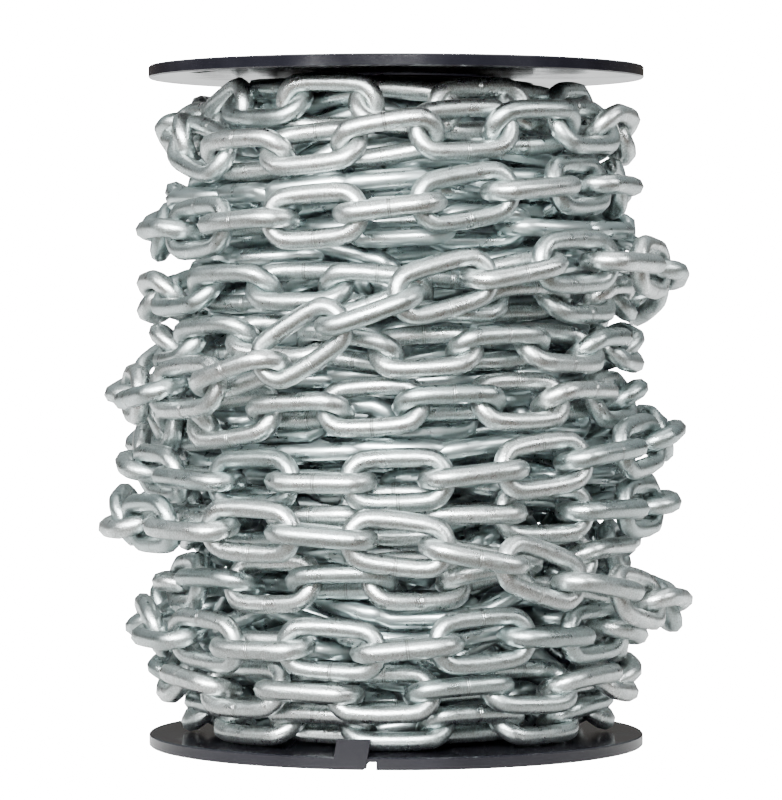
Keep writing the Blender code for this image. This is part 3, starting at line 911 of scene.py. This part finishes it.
class CHAIN_PG_finishes(bpy.types.PropertyGroup):
    """Colours and roughness of the chain and the reel."""

    zinc_light: FloatVectorProperty(
        name="Bright zinc", description="Plating of the brightest links",
        default=(0.81, 0.845, 0.835), subtype="COLOR", min=0, max=1,
    )
    # Painted shade: a darker copy of the bright plating for the links and windings beneath the
    # visible ones, so that the gaps between the visible links look shaded
    zinc_shaded_beneath: FloatVectorProperty(
        name="Zinc shaded beneath", description="Plating of the brightest links beneath the others",
        default=(0.60, 0.67, 0.67), subtype="COLOR", min=0, max=1,
    )
    zinc_dark: FloatVectorProperty(
        name="Dull zinc", description="Plating of the dullest links",
        default=(0.40, 0.48, 0.48), subtype="COLOR", min=0, max=1,
    )
    zinc_pits: FloatVectorProperty(
        name="Pits", description="Colour of the grain's pits and of the weld marks",
        default=(0.20, 0.20, 0.19), subtype="COLOR", min=0, max=1,
    )
    zinc_roughness: FloatProperty(
        name="Zinc roughness", description="Roughness of the plating between its pits",
        default=0.26, min=0, max=1, subtype="FACTOR",
    )
    zinc_grain: FloatProperty(
        name="Zinc grain", description="Strength of the plating's grain",
        default=0.46, min=0, max=1, subtype="FACTOR",
    )
    plastic: FloatVectorProperty(
        name="Plastic", description="Colour of the reel where it is clean",
        default=(0.004, 0.004, 0.006), subtype="COLOR", min=0, max=1,
    )
    plastic_dust: FloatVectorProperty(
        name="Dust", description="Colour of the reel where it is dusty",
        default=(0.009, 0.009, 0.012), subtype="COLOR", min=0, max=1,
    )
    plastic_roughness: FloatProperty(
        name="Plastic roughness", description="Roughness of the reel where it is clean",
        default=0.08, min=0, max=1, subtype="FACTOR",
    )


class CHAIN_PG_studio(bpy.types.PropertyGroup):
    """The camera's place and the studio's light."""

    camera_distance: FloatProperty(
        name="Camera distance", description="From the reel's axis to the camera, level",
        default=1.42, unit="LENGTH",
    )
    camera_height: FloatProperty(
        name="Camera height", description="Height of the camera over the floor",
        default=0.150, unit="LENGTH",
    )
    aim_height: FloatProperty(
        name="Aim height", description="Height at which the camera's view crosses the axis",
        default=0.1149, unit="LENGTH",
    )
    aim_side: FloatProperty(
        name="Aim side", description="How far to the right of the axis the camera stands",
        default=-0.0017, unit="LENGTH",
    )
    lens: FloatProperty(
        name="Lens", description="Focal length in millimetres", default=191.3,
    )
    key_power: FloatProperty(
        name="Key light", description="Power of the large soft light in front",
        default=172.0, unit="POWER",
    )
    top_power: FloatProperty(
        name="Top light", description="Power of the soft light overhead",
        default=16.0, unit="POWER",
    )
    side_power: FloatProperty(
        name="Side lights", description="Power of each soft light at the sides",
        default=18.0, unit="POWER",
    )
    floor_colour: FloatVectorProperty(
        name="Floor", description="Colour of the floor",
        default=(0.90, 0.90, 0.90), subtype="COLOR", min=0, max=1,
    )
    floor_front: FloatVectorProperty(
        name="Floor in front", description="What the chain mirrors of the floor in front of it",
        default=(0.025, 0.018, 0.012), subtype="COLOR", min=0, max=1,
    )
    sweep: FloatProperty(
        name="Far floor", description="Glow of the floor far behind, which the flanges mirror",
        default=1.2, min=0,
    )
    backdrop: FloatProperty(
        name="Backdrop", description="Brightness of the backdrop and the floor for the camera",
        default=22.0, min=0,
    )


class CHAIN_OT_wind_turns(bpy.types.Operator):
    """Models the links of every visible turn of chain"""

    bl_idname = "chain_reel.wind_turns"
    bl_label = "Wind the visible turns"

    def execute(self, context):
        centres, axes, turns = wound_links()
        random = np.random.default_rng(LINK_LOOKS_SEED)
        link = link_model("link", LINK_BENDS, LINK_SIDES, True)
        brightest = context.scene.chain_finishes.zinc_light
        finish = zinc_steel("zinc_steel", brightest, GRAIN_SEEN)
        for number, turn in enumerate(TURNS):
            mine = turns == number
            name = turn.name + "_links"
            piece = joined_links(name, link, centres[mine], axes[mine], random, DULLEST_SEEN)
            soften = piece.modifiers.new("round_wire", "SUBSURF")
            soften.levels = soften.render_levels = 1
            finish_piece(piece, finish, turn.name)
        return {"FINISHED"}


class CHAIN_OT_fill_core(bpy.types.Operator):
    """Models the hidden windings beneath the visible turns"""

    bl_idname = "chain_reel.fill_core"
    bl_label = "Fill in the hidden windings"

    def execute(self, context):
        centres, axes = hidden_links()
        random = np.random.default_rng(LINK_LOOKS_SEED + 1)
        link = link_model("plain_link", PLAIN_BENDS, PLAIN_SIDES, False)
        piece = joined_links("hidden_links", link, centres, axes, random, DULLEST_HIDDEN)
        # The links beneath and the inmost windings take the darker plating, which paints shade
        # into the gaps between the visible links
        brightest = context.scene.chain_finishes.zinc_shaded_beneath
        finish = zinc_steel("zinc_steel_shaded_beneath", brightest, GRAIN_HIDDEN)
        finish_piece(piece, finish, "chain_core")
        low, high = (corner.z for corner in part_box("chain_core"))
        heights = np.arange(low, high, CORE_PITCH / CORE_STEPS)
        swell = CORE_RIDGE * np.cos(2 * math.pi * heights / CORE_PITCH)
        ridges = list(zip((CORE_RADIUS + swell).tolist(), heights.tolist()))
        inner = BARREL_RADIUS + GAP
        outline = [(inner, low), *ridges, (inner, ridges[-1][1])]
        core = turned_piece("inmost_windings", outline)
        pick(core)
        bpy.ops.object.shade_smooth()
        finish_piece(core, finish, "chain_core")
        return {"FINISHED"}


class CHAIN_OT_mould_flanges(bpy.types.Operator):
    """Models the reel's two flanges"""

    bl_idname = "chain_reel.mould_flanges"
    bl_label = "Mould the flanges"

    def execute(self, context):
        underside = REEL_HEIGHT - FLANGE_THICKNESS
        upper = turned_piece("upper_flange", flange_outline(underside, False))
        bottom = underside - 0.5 * (SLOT_SIZE[2] - FLANGE_THICKNESS)
        slot = rim_block("slot", SLOT_AZIMUTH, SLOT_RADIUS, bottom, SLOT_SIZE)
        work_in(upper, slot, "DIFFERENCE")
        lower = turned_piece("lower_flange", flange_outline(0.0, True))
        size = (NOTCH_WIDTH, 2 * NOTCH_DEPTH, 2 * NOTCH_HEIGHT)
        radius = FLANGE_RADIUS + NOTCH_DEPTH
        notch = rim_block("notch", NOTCH_AZIMUTH, radius, -NOTCH_HEIGHT, size)
        work_in(lower, notch, "DIFFERENCE")
        radius = FLANGE_RADIUS + TAB_PROUD
        tab = rim_block("tab", TAB_AZIMUTH, radius, TAB_FOOT, TAB_SIZE, TAB_LEAN)
        work_in(lower, tab, "UNION")
        for piece, node in ((upper, "reel_flange_top"), (lower, "reel_flange_bottom")):
            smooth(piece)
            finish_piece(piece, black_plastic(), node)
        return {"FINISHED"}


class CHAIN_OT_turn_barrel(bpy.types.Operator):
    """Models the tube between the flanges"""

    bl_idname = "chain_reel.turn_barrel"
    bl_label = "Turn the barrel"

    def execute(self, context):
        low, high = (corner.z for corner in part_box("reel_barrel"))
        inner = BARREL_RADIUS - BARREL_WALL
        outline = [
            (inner, low + RIM_BEVEL), (inner + RIM_BEVEL, low),
            (BARREL_RADIUS - RIM_BEVEL, low), (BARREL_RADIUS, low + RIM_BEVEL),
            (BARREL_RADIUS, high - RIM_BEVEL), (BARREL_RADIUS - RIM_BEVEL, high),
            (inner + RIM_BEVEL, high), (inner, high - RIM_BEVEL),
        ]
        piece = turned_piece("barrel", outline)
        smooth(piece)
        finish_piece(piece, black_plastic(), "reel_barrel")
        return {"FINISHED"}


def studio_world(backdrop):
    """A room that is bright overhead and behind and dim in front, with a white backdrop."""
    world = bpy.data.worlds.new("studio")
    bpy.context.scene.world = world
    world.use_nodes = True
    tree = world.node_tree
    room, leave = tree.nodes["Background"], tree.nodes["World Output"]
    place = tree.nodes.new("ShaderNodeTexCoord").outputs["Generated"]
    split = tree.nodes.new("ShaderNodeSeparateXYZ")
    tree.links.new(place, split.inputs[0])
    ramp = tree.nodes.new("ShaderNodeValToRGB")
    tree.links.new(split.outputs["Z"], ramp.inputs["Fac"])
    stops = ramp.color_ramp.elements
    stops[0].color, stops[1].color = ROOM_COLOURS[0], ROOM_COLOURS[-1]
    for position, colour in zip(ROOM_HEIGHTS, ROOM_COLOURS[1:-1]):
        stops.new(position).color = colour
    tree.links.new(ramp.outputs["Color"], room.inputs["Color"])
    depth = ranged(tree, split.outputs["Y"], ROOM_FRONT, 1.0, ROOM_DEPTHS)
    tree.links.new(depth, room.inputs["Strength"])
    behind = add_node(tree, "ShaderNodeBackground", Color=(1, 1, 1, 1), Strength=backdrop)
    shown_to_camera(tree, room, behind, leave)


def floor_paint(studio):
    """Pale paint, dim in front and glowing far behind, that the camera sees as white."""
    paint, tree, shader = blank_finish("floor_paint")
    shader.inputs["Roughness"].default_value = 0.8
    place = tree.nodes.new("ShaderNodeTexCoord").outputs["Object"]
    split = tree.nodes.new("ShaderNodeSeparateXYZ")
    tree.links.new(place, split.inputs[0])
    depth = ranged(tree, split.outputs["Y"], 0.0, 1.0, FLOOR_PALES)
    pale, dim = (*studio.floor_colour, 1.0), (*studio.floor_front, 1.0)
    colour = mixed(tree, depth, dim, pale)
    tree.links.new(colour, shader.inputs["Base Color"])
    far = ranged(tree, split.outputs["Y"], 0.0, studio.sweep, FLOOR_GLOWS)
    tree.links.new(far, shader.inputs["Emission Strength"])
    shader.inputs["Emission Color"].default_value = (1, 1, 1, 1)
    glow = add_node(tree, "ShaderNodeEmission", Color=(1, 1, 1, 1), Strength=studio.backdrop)
    shown_to_camera(tree, shader, glow, tree.nodes["Material Output"])
    return paint


def soft_light(name, place, size, power):
    """An oblong light that faces the middle of the reel."""
    data = bpy.data.lights.new(name, "AREA")
    data.shape = "RECTANGLE"
    data.size, data.size_y = size
    data.energy = power
    light = bpy.data.objects.new(name, data)
    bpy.context.scene.collection.objects.link(light)
    light.location = place
    aim = light.location - Vector((0, 0, 0.5 * REEL_HEIGHT))
    light.rotation_euler = aim.to_track_quat("Z", "Y").to_euler()


class CHAIN_OT_set_stage(bpy.types.Operator):
    """Sets up the floor, the light and the camera"""

    bl_idname = "chain_reel.set_stage"
    bl_label = "Set the stage"

    def execute(self, context):
        studio = context.scene.chain_studio
        deselect()
        bpy.ops.mesh.primitive_plane_add(size=FLOOR_SIZE, location=(0, 0, -FLOOR_DEPTH))
        floor = context.object
        floor.name = "floor"
        floor.data.materials.append(floor_paint(studio))
        studio_world(studio.backdrop)
        soft_light("key", KEY_PLACE, KEY_SIZE, studio.key_power)
        soft_light("top", TOP_PLACE, TOP_SIZE, studio.top_power)
        soft_light("left_side", LEFT_PLACE, SIDE_SIZE, studio.side_power)
        soft_light("right_side", RIGHT_PLACE, SIDE_SIZE, studio.side_power)
        data = bpy.data.cameras.new("camera")
        data.lens = studio.lens
        camera = bpy.data.objects.new("camera", data)
        context.scene.collection.objects.link(camera)
        camera.location = (studio.aim_side, -studio.camera_distance, studio.camera_height)
        drop = math.atan2(studio.camera_height - studio.aim_height, studio.camera_distance)
        camera.rotation_euler = (0.5 * math.pi - drop, 0, 0)
        context.scene.camera = camera
        return {"FINISHED"}


class CHAIN_PT_panel(bpy.types.Panel):
    """Lists the reel's steps and settings"""

    bl_idname = "CHAIN_PT_panel"
    bl_label = "Chain reel"
    bl_space_type = "VIEW_3D"
    bl_region_type = "UI"
    bl_category = "Chain reel"

    def draw(self, context):
        """Draws a button for each step and a box of settings for each group."""
        for step in STEPS:
            self.layout.operator(step.bl_idname)
        for group in (context.scene.chain_finishes, context.scene.chain_studio):
            box = self.layout.box()
            for name in group.__annotations__:
                box.prop(group, name)


STEPS = (
    CHAIN_OT_mould_flanges,
    CHAIN_OT_turn_barrel,
    CHAIN_OT_wind_turns,
    CHAIN_OT_fill_core,
    CHAIN_OT_set_stage,
)
CLASSES = (CHAIN_PG_finishes, CHAIN_PG_studio, *STEPS, CHAIN_PT_panel)


def register():
    """Adds the add-on's classes and settings."""
    for one in CLASSES:
        bpy.utils.register_class(one)
    bpy.types.Scene.chain_finishes = PointerProperty(type=CHAIN_PG_finishes)
    bpy.types.Scene.chain_studio = PointerProperty(type=CHAIN_PG_studio)


def unregister():
    """Takes the add-on's classes and settings away."""
    del bpy.types.Scene.chain_studio
    del bpy.types.Scene.chain_finishes
    for one in reversed(CLASSES):
        bpy.utils.unregister_class(one)


def main():
    """Dresses the frame."""
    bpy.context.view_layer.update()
    register()
    bpy.ops.chain_reel.mould_flanges()
    bpy.ops.chain_reel.turn_barrel()
    bpy.ops.chain_reel.wind_turns()
    bpy.ops.chain_reel.fill_core()
    bpy.ops.chain_reel.set_stage()


if __name__ == "__main__":
    main()
